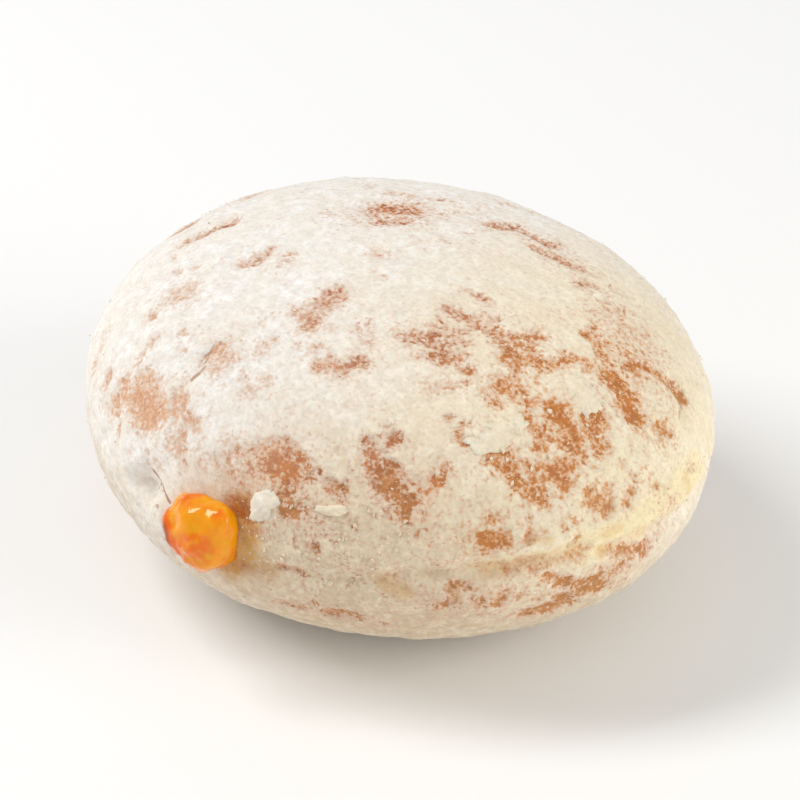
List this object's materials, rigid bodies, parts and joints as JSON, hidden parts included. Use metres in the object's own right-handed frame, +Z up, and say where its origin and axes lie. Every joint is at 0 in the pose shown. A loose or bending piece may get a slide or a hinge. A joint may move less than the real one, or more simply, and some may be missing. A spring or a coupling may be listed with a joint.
{
  "type": "jelly filled doughnut",
  "caption": "Oval yeast doughnut coated with powdered sugar and filled with apricot jelly that stands out of the filling hole in its side.",
  "frame": {"origin": "on the ground, under the middle of the box round the whole doughnut", "axes": "+X along the longer side of the oval, +Z up, and the filling hole with its jelly faces -Y"},
  "size_m": [0.0918, 0.0866, 0.0466],
  "materials": {
    "sugared_dough": "matte powdered sugar over browned fried dough that shows in patches",
    "apricot_jelly": "wet, glossy and translucent"
  },
  "bodies": {
    "root": {"dough": "sugared_dough", "jelly": "apricot_jelly"}
  },
  "joints": []
}
